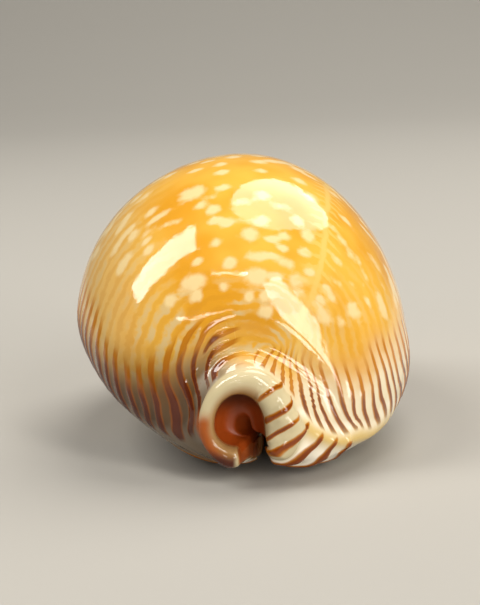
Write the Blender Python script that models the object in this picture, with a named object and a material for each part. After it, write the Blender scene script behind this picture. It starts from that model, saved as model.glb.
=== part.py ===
"""Great spotted cowrie, one natural shell, lying on its base with the aperture down.

+Z is up through the back, +Y runs from the spire end to the front end, and +X is the side of the
outer lip. The origin is on the resting plane, under the middle of the shell. Units are metres;
the tables and the shaping functions below work in millimetres.
"""

import math

import bpy
import numpy as np

MM = 0.001

# Driving dimensions of the finished shell
LENGTH = 62.0 * MM
WIDTH = 41.9 * MM
HEIGHT = 34.6 * MM

# Cross-sections from the spire end to the front end. left and right are measured from the middle line
# and the hollow's half width from its own, core. base is the lowest point of each lip. flare is the
# part of right by which the outer lip's margin stands out from under the hood.
COLUMNS = ("y", "left", "right", "top", "base_left", "base_right", "middle", "slit", "core", "hollow", "roof",
           "floor", "flare")
SECTIONS = (
    (-29.7, 6.2, 5.7, 14.0, 2.3, 3.0, -0.5, -0.2, -1.9, 2.9, 11.0, 4.8, 1.0),  # rim of the rear canal
    (-28.8, 5.9, 7.6, 13.7, 2.2, 2.4, -0.6, 0.1, -1.9, 2.8, 10.9, 4.8, 3.4),  # groove behind the collar
    (-27.7, 6.9, 9.8, 15.0, 2.2, 1.9, -0.6, 0.7, -1.7, 2.7, 10.8, 4.9, 4.4),
    (-26.3, 11.2, 12.3, 20.2, 1.8, 1.4, -0.5, 1.4, -0.7, 3.0, 9.8, 5.0, 3.4),  # foot of the rear dome
    (-22.6, 16.3, 16.2, 25.9, 1.0, 0.9, -0.3, 2.2, 0.9, 3.6, 8.6, 5.2, 0.7),
    (-14.5, 20.0, 19.5, 32.0, 0.25, 0.25, 0.0, 2.9, 0.0, 16.4, 28.4, 5.2, 0.0),
    (-4.0, 21.7, 20.9, 34.6, 0.25, 0.25, 0.1, 3.4, 0.1, 18.4, 32.0, 5.3, 0.0),  # widest and highest
    (7.0, 20.5, 19.8, 33.0, 0.25, 0.25, 0.2, 3.2, 0.2, 17.4, 30.4, 5.3, 0.0),
    (16.5, 17.0, 16.3, 27.6, 0.6, 0.6, 0.3, 2.7, 0.3, 13.6, 24.2, 5.3, 0.0),
    (23.6, 11.8, 11.8, 20.4, 1.6, 1.6, 0.4, 1.9, 0.4, 6.6, 14.8, 5.3, 0.0),  # front slope
    (26.8, 8.2, 8.6, 15.4, 2.3, 2.3, 0.4, 1.4, 0.5, 2.8, 10.3, 5.1, 0.0),
    (28.4, 6.2, 6.6, 12.8, 2.9, 2.8, 0.4, 1.0, 0.6, 2.2, 9.2, 5.1, 0.0),  # groove behind the front collar
    (29.8, 5.5, 5.8, 12.0, 3.3, 3.2, 0.4, 0.8, 0.6, 2.3, 9.0, 5.3, 0.0),  # rim of the front canal
)

# Outline of a section: height of its widest point as a share from base to top (at the ends, at mid
# length), and the powers of its lower and upper curves
BELLY = {-1: (0.42, 0.424), 1: (0.30, 0.265)}
LOWER_POWER = {-1: 1.62, 1: 2.0}
UPPER_POWER = {-1: 1.95, 1: 1.98}

SLIT_HALF_GAP = 1.6
FLAT_WIDTH = 3.4  # of the flat strip beside the slit
LIP_WALL = (1.2, 4.2)  # height of the slit's wall at the ends, at mid length
RIM_DEPTH = 1.5  # how far the rounded canal rims stand out beyond the last sections
REST_CUT = 0.30  # how deep the resting flats are cut into the rib crests

# Raised callus along the outer lip's margin at the rear
SHOULDER = 0.5
SHOULDER_CLIMB = 0.42

# Ribs, which run across the lips as teeth and climb the sides
RIB_PITCH = 1.75
RIB_SHARPNESS = 2.2
TOOTH_HEIGHT = 0.55
SIDE_RIB_HEIGHT = 0.22
TURN_CENTRE = (-23.5, 11.5)  # y and z that the rear lip turns round, up to its canal
TURN_ANGLES = (0, 12, 24, 33, 43, 52, 63, 82, 100)  # of the ribs there, from straight down, in degrees
TILT = 0.5  # their rise towards the margin

RINGS = 300
HALF_RING = 120
CROWDING = 0.55  # of the ring points towards the lips
RIM_STEPS = 8
FACETS = 9000


def clear_scene():
    for obj in list(bpy.data.objects):
        bpy.data.objects.remove(obj, do_unlink=True)


def smooth_step(low, high, value):
    share = np.clip((value - low) / (high - low), 0.0, 1.0)
    return share * share * (3 - 2 * share)


def section_rows(count):
    """Rows between the given sections, on smooth curves, evenly spaced along the shell's outline."""
    rows = np.array(SECTIONS)
    step = np.linalg.norm(np.diff(rows[:, [0, 1, 3]], axis=0), axis=1)
    place = np.concatenate(([0.0], np.cumsum(step)))
    slope = np.diff(rows, axis=0) / step[:, None]
    tangent = np.empty_like(rows)
    tangent[0] = slope[0]
    tangent[-1] = slope[-1]
    before, after = step[:-1, None], step[1:, None]
    tangent[1:-1] = (slope[:-1] * after + slope[1:] * before) / (before + after)
    at = np.linspace(0.0, place[-1], count)
    cell = np.clip(np.searchsorted(place, at, side="right") - 1, 0, len(step) - 1)
    u = ((at - place[cell]) / step[cell])[:, None]
    reach = step[cell][:, None]
    return (
        (2 * u**3 - 3 * u**2 + 1) * rows[cell]
        + (u**3 - 2 * u**2 + u) * reach * tangent[cell]
        + (3 * u**2 - 2 * u**3) * rows[cell + 1]
        + (u**3 - u**2) * reach * tangent[cell + 1]
    )


def quarter_curves(start, wide, middle, low, belly, high, powers, flare=0.0):
    """Control points from the strip beside the slit, round the widest point, up towards the crown."""
    lower_power, upper_power = powers
    points = []
    for turn in np.radians((90, 72, 54, 36, 18)):
        x = start + (wide - start) * math.cos(turn) ** (2 / lower_power)
        z = belly - (belly - low) * math.sin(turn) ** (2 / lower_power)
        points.append((x, z))
    for turn in np.radians((0, 15, 30, 45, 60, 75)):
        x = middle + (wide - middle - flare) * math.cos(turn) ** (2 / upper_power) + flare * math.cos(turn) ** 4
        z = belly + (high - belly) * math.sin(turn) ** (2 / upper_power)
        points.append((x, z))
    return points


def section_controls(row):
    """Control points of one section: from lip to lip over the outside, then back through the hollow."""
    part = dict(zip(COLUMNS, row))
    mid_share = 1 - abs(part["y"] / 31.0) ** 3
    top, roof, middle, core = part["top"], part["roof"], part["middle"], part["core"]
    outside, inside = {}, {}
    for side, name in ((-1, "left"), (1, "right")):
        base = part["base_" + name]
        share = BELLY[side][0] + (BELLY[side][1] - BELLY[side][0]) * mid_share
        fold = base + LIP_WALL[0] + (LIP_WALL[1] - LIP_WALL[0]) * mid_share
        edge = part["slit"] + side * SLIT_HALF_GAP
        flat = edge + side * min(FLAT_WIDTH, 0.22 * part[name])
        wall = [(edge, fold), (edge, 0.5 * (base + fold)), (edge + 0.25 * side, base + 0.2)]
        outside[side] = wall + quarter_curves(
            flat, middle + side * part[name], middle, base, base + share * (top - base), top,
            (LOWER_POWER[side], UPPER_POWER[side]), part["flare"] if side > 0 else 0.0,
        )
        floor = max(part["floor"], fold + 0.4)
        wide = core + side * part["hollow"]
        start = edge + 0.25 * (wide - edge)
        wall = [(edge + 0.1 * side, fold + 0.1), (edge + 0.3 * (start - edge), 0.5 * (fold + floor)),
                (edge + 0.7 * (start - edge), floor)]
        inside[side] = wall + quarter_curves(
            start, wide, core, floor, floor + 0.4 * (roof - floor), roof, (2.0, 2.0),
        )
    over = outside[-1] + [(middle, top)] + outside[1][::-1]
    back = inside[1] + [(core, roof)] + inside[-1][::-1]
    return np.array(over + back)


def round_weights(controls, places):
    """Weights of a closed cubic B-spline at the given places among its controls."""
    cell = np.floor(places).astype(int)
    u = places - cell
    shares = ((1 - u) ** 3 / 6, (3 * u**3 - 6 * u**2 + 4) / 6, (1 + 3 * u + 3 * u**2 - 3 * u**3) / 6, u**3 / 6)
    weights = np.zeros((len(places), controls))
    for offset, share in enumerate(shares, start=-1):
        np.add.at(weights, (np.arange(len(places)), (cell + offset) % controls), share)
    return weights


def smooth_rings():
    """Rings of points along the shell, and each point's place from the slit (0) to the crown (1)."""
    rows = section_rows(RINGS)
    controls = np.array([section_controls(row) for row in rows])
    count = controls.shape[1]
    turn = (np.arange(2 * HALF_RING) + 0.5) / HALF_RING
    places = (turn - CROWDING * np.sin(2 * np.pi * turn) / (2 * np.pi)) * count / 2 - 0.5
    outline = np.einsum("pc,rcx->rpx", round_weights(count, places), controls)
    depth = np.repeat(rows[:, :1], 2 * HALF_RING, axis=1)
    rings = np.stack((outline[:, :, 0], depth, outline[:, :, 1]), axis=2)
    climb = 1 - np.abs(2 * (places[:HALF_RING] + 0.5) / (count / 2) - 1)
    return rings, climb


def rim_rings(ring, outward):
    """Rings that close one end with a rounded rim, from just inside the outer edge inwards."""
    outer = ring[:HALF_RING]
    inner = ring[:HALF_RING - 1:-1]
    middle = 0.5 * (outer + inner)
    half = np.linalg.norm(outer - inner, axis=1, keepdims=True) / 2
    depth = np.minimum(half, RIM_DEPTH)
    turns = np.pi * np.arange(1, RIM_STEPS) / RIM_STEPS
    return [middle + (outer - middle) * math.cos(turn) + depth * math.sin(turn) * outward for turn in turns]


def shell_mesh():
    """Vertices and faces of the smooth shell, and each vertex's climb (-1 in the hollow)."""
    rings, climb = smooth_rings()
    around = 2 * HALF_RING
    points = [rings.reshape(-1, 3)]
    climbs = [np.tile(np.concatenate((climb, -np.ones(HALF_RING))), RINGS)]
    faces = []
    for ring in range(RINGS - 1):
        for j in range(around):
            k = (j + 1) % around
            faces.append((ring * around + j, ring * around + k, (ring + 1) * around + k, (ring + 1) * around + j))
    total = RINGS * around
    for ring, direction in ((0, -1.0), (RINGS - 1, 1.0)):
        layers = [ring * around + np.arange(HALF_RING)]
        for layer in rim_rings(rings[ring], np.array((0.0, direction, 0.0))):
            points.append(layer)
            climbs.append(climb)
            layers.append(total + np.arange(HALF_RING))
            total += HALF_RING
        layers.append(ring * around + around - 1 - np.arange(HALF_RING))
        for near, far in zip(layers, layers[1:]):
            for j in range(HALF_RING - 1):
                face = (near[j], far[j], far[j + 1], near[j + 1])
                faces.append(face if direction < 0 else face[::-1])
        # the thin ends of the two lips, beside the slit
        first = [layer[0] for layer in layers]
        last = [layer[-1] for layer in layers]
        faces.append(first[::-1] if direction < 0 else first)
        faces.append(last if direction < 0 else last[::-1])
    return np.concatenate(points), [tuple(int(v) for v in face) for face in faces], np.concatenate(climbs)


def rib_wave(count):
    """A row of narrow crests, one at each whole number, between wide shallow troughs."""
    return (0.5 + 0.5 * np.cos(2 * np.pi * count)) ** RIB_SHARPNESS


def rib_relief(points, climb):
    """How far the ribs raise each point."""
    x, y, z = points.T
    right = x > 0.5
    rear = smooth_step(-27.0, -29.5, y) * right
    # over the lips: straight across the base, and at the rear round the outer lip up to its canal
    out = np.clip(x - 1.0, 0.0, 12.0) * right
    back = TURN_CENTRE[0] - y - 0.25 * out * smooth_step(-12.0, -24.0, y)
    up = TURN_CENTRE[1] - z + TILT * out * smooth_step(-22.0, -27.0, y)
    angle = np.degrees(np.arctan2(np.maximum(back, 0.0), up))
    turned = np.interp(angle, TURN_ANGLES, np.arange(len(TURN_ANGLES)))
    lips = rib_wave(np.where(right & (back > 0), turned, back / RIB_PITCH))
    lip_share = smooth_step(0.02 + 0.12 * rear, 0.12 + 0.12 * rear, climb)
    lip_share = lip_share * smooth_step(0.50 + 0.30 * rear, 0.36 + 0.30 * rear, climb)
    lip_share = lip_share * np.where(right, 1.0, smooth_step(-23.0, -19.0, y)) * smooth_step(30.5, 27.0, y)
    # up the sides
    arc = y - 0.55 * np.clip(-20.0 - y, 0.0, 6.0) ** 1.5
    sides = rib_wave(arc / RIB_PITCH + 0.5)
    side_share = smooth_step(0.40, 0.50, climb) * smooth_step(0.80, 0.60, climb)
    side_share = side_share * smooth_step(-27.8, -26.4, y) * smooth_step(28.0, 25.0, y)
    lip_share = lip_share * (1 - 0.35 * rear)
    return TOOTH_HEIGHT * lip_share * lips + SIDE_RIB_HEIGHT * side_share * sides


def callus_relief(points, climb):
    """How far the callus along the rear margin of the outer lip raises each point."""
    x, y, _ = points.T
    ridge = np.exp(-(((climb - SHOULDER_CLIMB) / 0.05) ** 2))
    return SHOULDER * ridge * (x > 0) * smooth_step(-10.0, -22.0, y)


def shell_material():
    material = bpy.data.materials.new("glossy_shell")
    material.use_nodes = True
    shader = material.node_tree.nodes["Principled BSDF"]
    shader.inputs["Base Color"].default_value = (0.80, 0.42, 0.12, 1.0)
    shader.inputs["Roughness"].default_value = 0.12
    shader.inputs["IOR"].default_value = 1.6
    return material


def build_shell(collection):
    points, faces, climb = shell_mesh()
    mesh = bpy.data.meshes.new("shell")
    mesh.from_pydata(points.tolist(), [], faces)
    normals = np.empty(len(points) * 3)
    mesh.vertices.foreach_get("normal", normals)
    relief = rib_relief(points, climb) + callus_relief(points, climb)
    points = points + normals.reshape(-1, 3) * relief[:, None]
    # centred on the origin, exact in length, width and height above the resting plane
    low, high = points.min(axis=0), points.max(axis=0)
    low[2] += REST_CUT
    points = (points - (0.5 * (low[0] + high[0]), 0.5 * (low[1] + high[1]), low[2]))
    points = points * (np.array((WIDTH, LENGTH, HEIGHT)) / (high - low))
    mesh.vertices.foreach_set("co", points.ravel())
    mesh.update()
    mesh.materials.append(shell_material())
    shell = bpy.data.objects.new("shell", mesh)
    collection.objects.link(shell)
    return shell


def build_resting_plane(collection):
    """A block below the resting plane, which flattens the rib crests that the shell stands on."""
    mesh = bpy.data.meshes.new("resting_plane")
    reach, depth = 0.04, 0.01
    corners = [(x, y, z) for z in (-depth, 0.0) for y in (-reach, reach) for x in (-reach, reach)]
    sides = [(0, 2, 3, 1), (4, 5, 7, 6), (0, 1, 5, 4), (1, 3, 7, 5), (3, 2, 6, 7), (2, 0, 4, 6)]
    mesh.from_pydata(corners, [], sides)
    cutter = bpy.data.objects.new("resting_plane", mesh)
    cutter.hide_render = True
    cutter.display_type = "WIRE"
    collection.objects.link(cutter)
    return cutter


def new_collection(name):
    collection = bpy.data.collections.new(name)
    bpy.context.scene.collection.children.link(collection)
    return collection


def main():
    clear_scene()
    shell = build_shell(new_collection("cypraea_perisserosa"))
    cutter = build_resting_plane(new_collection("cutters"))
    reduce_facets = shell.modifiers.new("reduce_facets", "DECIMATE")
    reduce_facets.ratio = FACETS / (2 * len(shell.data.polygons))
    flatten = shell.modifiers.new("flatten", "BOOLEAN")
    flatten.operation = "DIFFERENCE"
    flatten.solver = "EXACT"
    flatten.object = cutter


main()
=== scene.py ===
import math

import bpy
import numpy as np
from mathutils import Matrix, Quaternion, Vector
from mathutils.bvhtree import BVHTree


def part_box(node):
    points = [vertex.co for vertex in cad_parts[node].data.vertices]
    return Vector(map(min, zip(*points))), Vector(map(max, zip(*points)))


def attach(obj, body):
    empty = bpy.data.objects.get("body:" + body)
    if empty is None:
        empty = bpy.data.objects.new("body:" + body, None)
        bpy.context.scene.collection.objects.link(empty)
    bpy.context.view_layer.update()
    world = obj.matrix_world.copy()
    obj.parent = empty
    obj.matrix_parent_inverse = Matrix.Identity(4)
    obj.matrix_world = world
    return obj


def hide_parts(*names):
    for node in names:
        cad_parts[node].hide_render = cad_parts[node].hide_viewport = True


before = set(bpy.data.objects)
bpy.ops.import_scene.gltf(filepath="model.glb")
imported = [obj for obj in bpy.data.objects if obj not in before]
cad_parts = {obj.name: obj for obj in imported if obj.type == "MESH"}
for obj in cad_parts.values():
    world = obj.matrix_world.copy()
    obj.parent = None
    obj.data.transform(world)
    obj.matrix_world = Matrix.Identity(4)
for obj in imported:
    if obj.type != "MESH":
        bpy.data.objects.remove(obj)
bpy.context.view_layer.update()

mm = 0.001


def fromHex(code):
    # sRGB hex to the linear colour that shaders and lamps take
    parts = [int(code[i:i + 2], 16) / 255 for i in (1, 3, 5)]
    return tuple(c / 12.92 if c <= 0.04045 else ((c + 0.055) / 1.055) ** 2.4 for c in parts) + (1.0,)


def ease(start, end, value):
    # 0 at the start and before it, 1 at the end and beyond it; the end may be the smaller one
    share = np.clip((value - start) / (end - start), 0.0, 1.0)
    return share * share * (3 - 2 * share)


# Shell body. Cross-sections run from the spire end (-y) to the front end, in millimetres:
# y, left, right, top, base left, base right, middle, slit, core, hollow, roof, floor, flare
shell = {
    "sections": (
        (-29.7, 6.2, 5.7, 14.0, 2.3, 3.0, -0.5, -0.2, -1.9, 2.9, 11.0, 4.8, 1.0),  # rim of the rear canal
        (-28.8, 5.9, 7.6, 14.7, 2.2, 2.4, -0.6, 0.1, -1.9, 2.8, 10.8, 4.8, 3.4),  # groove behind the collar
        (-27.7, 6.9, 9.8, 15.0, 2.2, 1.9, -0.6, 0.7, -1.8, 2.3, 9.9, 4.9, 4.4),
        (-26.3, 11.2, 12.3, 20.2, 1.8, 1.4, -0.5, 1.4, -1.3, 0.9, 7.6, 5.2, 3.4),  # foot of the rear dome
        (-22.6, 16.3, 16.2, 25.9, 1.0, 0.9, -0.3, 2.2, 0.6, 0.9, 7.4, 5.4, 0.7),
        (-14.5, 20.0, 19.5, 32.0, 0.25, 0.25, 0.0, 2.9, 0.0, 16.4, 28.4, 5.2, 0.0),
        (-4.0, 21.7, 20.9, 34.6, 0.25, 0.25, 0.1, 3.4, 0.1, 18.4, 32.0, 5.3, 0.0),  # widest and highest
        (7.0, 20.5, 19.8, 33.0, 0.25, 0.25, 0.2, 3.2, 0.2, 17.4, 30.4, 5.3, 0.0),
        (16.5, 17.0, 16.3, 27.6, 0.6, 0.6, 0.3, 2.7, 0.3, 13.6, 24.2, 5.3, 0.0),
        (23.6, 11.8, 11.8, 20.4, 1.6, 1.6, 0.4, 1.9, 0.4, 6.6, 14.8, 5.3, 0.0),  # front slope
        (26.8, 8.2, 8.6, 15.4, 2.3, 2.3, 0.4, 1.4, 0.5, 2.8, 10.3, 5.1, 0.0),
        (28.4, 6.2, 6.6, 12.8, 2.9, 2.8, 0.4, 1.0, 0.6, 2.2, 9.2, 5.1, 0.0),  # groove behind the front collar
        (29.8, 5.5, 5.8, 12.0, 3.3, 3.2, 0.4, 0.8, 0.6, 2.3, 9.0, 5.3, 0.0),  # rim of the front canal
    ),
    "halfLength": 31.0,
    "belly": {-1: (0.42, 0.424), 1: (0.30, 0.265)},  # where it is widest, at the ends and at mid length
    "lowerPower": {-1: 1.62, 1: 2.0},  # of the round below the widest place, left and right
    "upperPower": {-1: 1.95, 1: 1.98},
    "lowerTurns": (90, 72, 54, 36, 18),  # degrees round each quarter
    "upperTurns": (0, 15, 30, 45, 60, 75),
    "flarePower": 4,
    "slitHalfGap": 1.6,
    "flatWidth": 3.4,  # from the slit to where the base turns up
    "flatShare": 0.22,  # and the most of a section's half width that it takes
    "lipWall": (1.2, 4.2),  # height of the lips' inner walls: ends, mid length
    "lipFoot": (0.25, 0.2),  # across and up, where the wall turns into the base
    "lining": {  # the inner wall: its ledge and ramp beside the slit, then its round
        "ledge": (0.1, 0.1),
        "rise": 0.4,
        "start": 0.25,
        "ramp": (0.3, 0.7),
        "belly": 0.4,
        "power": 2.0,
    },
    "rimDepth": 1.5,
    "restCut": 0.30,  # taken off where it rests
    "rings": 318,
    "halfRing": 146,
    "rimSteps": 10,
    "crowding": 0.55,  # of the ring points towards the lips
    "inside": 0.9,  # it counts as inside from here, where 0 is the outer skin and 1 the inner one
}


def sectionRows(count):
    # a smooth curve through the sections, read at even steps
    rows = np.array(shell["sections"])
    step = np.linalg.norm(np.diff(rows[:, [0, 1, 3]], axis=0), axis=1)
    place = np.concatenate(([0.0], np.cumsum(step)))
    slope = np.diff(rows, axis=0) / step[:, None]
    tangent = np.empty_like(rows)
    tangent[0], tangent[-1] = slope[0], slope[-1]
    before, after = step[:-1, None], step[1:, None]
    tangent[1:-1] = (slope[:-1] * after + slope[1:] * before) / (before + after)
    at = np.linspace(0.0, place[-1], count)
    cell = np.clip(np.searchsorted(place, at, side="right") - 1, 0, len(step) - 1)
    u = ((at - place[cell]) / step[cell])[:, None]
    reach = step[cell][:, None]
    start = (2 * u**3 - 3 * u**2 + 1) * rows[cell] + (u**3 - 2 * u**2 + u) * reach * tangent[cell]
    return start + (3 * u**2 - 2 * u**3) * rows[cell + 1] + (u**3 - u**2) * reach * tangent[cell + 1]


def quarterCurves(start, wide, middle, low, belly, high, powers, flare=0.0):
    # from the flat base out to the widest place and up to the crown
    lower, upper = (2 / power for power in powers)
    points = []
    for turn in np.radians(shell["lowerTurns"]):
        x = start + (wide - start) * math.cos(turn) ** lower
        points.append((x, belly - (belly - low) * math.sin(turn) ** lower))
    for turn in np.radians(shell["upperTurns"]):
        x = middle + (wide - middle - flare) * math.cos(turn) ** upper
        x += flare * math.cos(turn) ** shell["flarePower"]
        points.append((x, belly + (high - belly) * math.sin(turn) ** upper))
    return points


def sectionControls(row):
    y, left, right, top, baseLeft, baseRight, middle, slit, core, hollow, roof, floor, flare = row
    midShare = 1 - abs(y / shell["halfLength"]) ** 3
    lining = shell["lining"]
    outside, inside = {}, {}
    for side, reach, base in ((-1, left, baseLeft), (1, right, baseRight)):
        ends, centre = shell["belly"][side]
        belly = base + (ends + (centre - ends) * midShare) * (top - base)
        ends, centre = shell["lipWall"]
        fold = base + ends + (centre - ends) * midShare
        edge = slit + side * shell["slitHalfGap"]
        flat = edge + side * min(shell["flatWidth"], shell["flatShare"] * reach)
        across, up = shell["lipFoot"]
        wall = [(edge, fold), (edge, 0.5 * (base + fold)), (edge + across * side, base + up)]
        powers = (shell["lowerPower"][side], shell["upperPower"][side])
        wide = middle + side * reach
        flareHere = flare if side > 0 else 0.0
        outside[side] = wall + quarterCurves(flat, wide, middle, base, belly, top, powers, flareHere)
        rise = max(floor, fold + lining["rise"])
        wide = core + side * hollow
        start = edge + lining["start"] * (wide - edge)
        across, up = lining["ledge"]
        near, far = (edge + share * (start - edge) for share in lining["ramp"])
        wall = [(edge + across * side, fold + up), (near, 0.5 * (fold + rise)), (far, rise)]
        belly = rise + lining["belly"] * (roof - rise)
        inside[side] = wall + quarterCurves(start, wide, core, rise, belly, roof, (lining["power"],) * 2)
    over = outside[-1] + [(middle, top)] + outside[1][::-1]
    back = inside[1] + [(core, roof)] + inside[-1][::-1]
    return np.array(over + back)


def roundWeights(controls, places):
    # closed cubic B-spline
    cell = np.floor(places).astype(int)
    u = places - cell
    shares = (
        (1 - u) ** 3 / 6,
        (3 * u**3 - 6 * u**2 + 4) / 6,
        (1 + 3 * u + 3 * u**2 - 3 * u**3) / 6,
        u**3 / 6,
    )
    weights = np.zeros((len(places), controls))
    for offset, share in enumerate(shares, start=-1):
        np.add.at(weights, (np.arange(len(places)), (cell + offset) % controls), share)
    return weights


def shellGrid():
    half = shell["halfRing"]
    rows = sectionRows(shell["rings"])
    controls = np.array([sectionControls(row) for row in rows])
    count = controls.shape[1]
    turn = (np.arange(2 * half) + 0.5) / half
    places = (turn - shell["crowding"] * np.sin(2 * np.pi * turn) / (2 * np.pi)) * count / 2 - 0.5
    outline = np.einsum("pc,rcx->rpx", roundWeights(count, places), controls)
    depth = np.repeat(rows[:, :1], 2 * half, axis=1)
    rings = np.stack((outline[:, :, 0], depth, outline[:, :, 1]), axis=2)
    climb = 1 - np.abs(2 * (places[:half] + 0.5) / (count / 2) - 1)
    return rings, climb


def shellSurface():
    # points, faces, climb from slit (0) to crown (1), and how far each point is inside the hollow (0 to 1)
    rings, climb = shellGrid()
    half, around = shell["halfRing"], 2 * shell["halfRing"]
    points = [rings.reshape(-1, 3)]
    climbs = [np.tile(np.concatenate((climb, climb[::-1])), shell["rings"])]
    hollow = [np.tile(np.concatenate((np.zeros(half), np.ones(half))), shell["rings"])]
    ringAt = np.arange(shell["rings"] - 1)[:, None] * around
    j = np.arange(around)[None, :]
    k = (j + 1) % around
    sheet = np.stack((ringAt + j, ringAt + k, ringAt + around + k, ringAt + around + j), axis=2)
    faces = sheet.reshape(-1, 4).tolist()
    total = shell["rings"] * around
    for ring, direction in ((0, -1.0), (shell["rings"] - 1, 1.0)):
        # a round rim joins the outside to the inside
        outer, inner = rings[ring][:half], rings[ring][:half - 1:-1]
        middle = 0.5 * (outer + inner)
        depth = np.minimum(np.linalg.norm(outer - inner, axis=1, keepdims=True) / 2, shell["rimDepth"])
        layers = [ring * around + np.arange(half)]
        for step in range(1, shell["rimSteps"]):
            turn = math.pi * step / shell["rimSteps"]
            bulge = depth * math.sin(turn) * np.array((0.0, direction, 0.0))
            points.append(middle + (outer - middle) * math.cos(turn) + bulge)
            climbs.append(climb)
            hollow.append(np.full(half, 0.5 - 0.5 * math.cos(turn)))
            layers.append(total + np.arange(half))
            total += half
        layers.append(ring * around + around - 1 - np.arange(half))
        for near, far in zip(layers, layers[1:]):
            strip = np.stack((near[:-1], far[:-1], far[1:], near[1:]), axis=1)
            faces += (strip if direction < 0 else strip[:, ::-1]).tolist()
        for end in (0, -1):  # thin ends of the lips beside the slit
            loop = [int(layer[end]) for layer in layers]
            faces.append(loop[::-1] if (end == 0) == (direction < 0) else loop)
    return np.concatenate(points), faces, np.concatenate(climbs), np.concatenate(hollow)


print("shell: surface")
points, faces, climb, hollow = shellSurface()
outside = hollow < 0.5
mesh = bpy.data.meshes.new("cowrie_shell")
mesh.from_pydata(points.tolist(), [], faces)
normals = np.empty(len(points) * 3)
mesh.vertices.foreach_get("normal", normals)
normals = normals.reshape(-1, 3)
cadLow, cadHigh = (np.array(corner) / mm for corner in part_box("shell"))


def fitted(shape):
    # to the solid shell's box, and flat where it rests
    low, high = shape.min(axis=0), shape.max(axis=0)
    low[2] += shell["restCut"]
    shape = (shape - 0.5 * (low + high)) * ((cadHigh - cadLow) / (high - low)) + 0.5 * (cadLow + cadHigh)
    shape[:, 2] = np.maximum(shape[:, 2], cadLow[2])
    return shape


placed = fitted(points)
skin = BVHTree.FromPolygons(placed.tolist(), faces)
x, y, z = placed.T

# Camera, at the photograph's angle
camera = {
    "lens": 100.0,  # mm, as the sensor's width is
    "sensor": 36.0,
    "nearest": 0.01,  # m
    "distance": 217.2 * mm,
    "elevation": 12.3,  # degrees, as azimuth and roll are
    "azimuth": -1.64,
    "roll": -2.1,
    "aim": (-0.2 * mm, 0.0, 15.2 * mm),
    "picture": (480, 605),  # pixels
}


def placeCamera():
    data = bpy.data.cameras.new("camera")
    data.lens = camera["lens"]
    data.sensor_width = camera["sensor"]
    data.clip_start = camera["nearest"]
    lift, swing, roll = (math.radians(camera[key]) for key in ("elevation", "azimuth", "roll"))
    back = Vector((math.sin(swing) * math.cos(lift), -math.cos(swing) * math.cos(lift), math.sin(lift)))
    across = Vector((0, 0, 1)).cross(back).normalized()
    up = back.cross(across)
    rolledAcross = across * math.cos(roll) + up * math.sin(roll)
    rolledUp = up * math.cos(roll) - across * math.sin(roll)
    eye = bpy.data.objects.new("camera", data)
    turn = Matrix((rolledAcross, rolledUp, back)).transposed().to_4x4()
    eye.matrix_world = Matrix.Translation(Vector(camera["aim"]) + back * camera["distance"]) @ turn
    bpy.context.scene.collection.objects.link(eye)
    bpy.context.scene.camera = eye
    return eye


eye = placeCamera()


def onShell(px, py):
    # the point of the shell that a pixel of the picture shows, in mm
    wide, tall = camera["picture"]
    focal = camera["lens"] / camera["sensor"] * tall
    ray = Vector(((px - wide / 2) / focal, (tall / 2 - py) / focal, -1.0))
    ray = (eye.matrix_world.to_3x3() @ ray).normalized()
    hit = skin.ray_cast(eye.matrix_world.translation / mm, ray)[0]
    return None if hit is None else np.array(hit)


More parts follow.
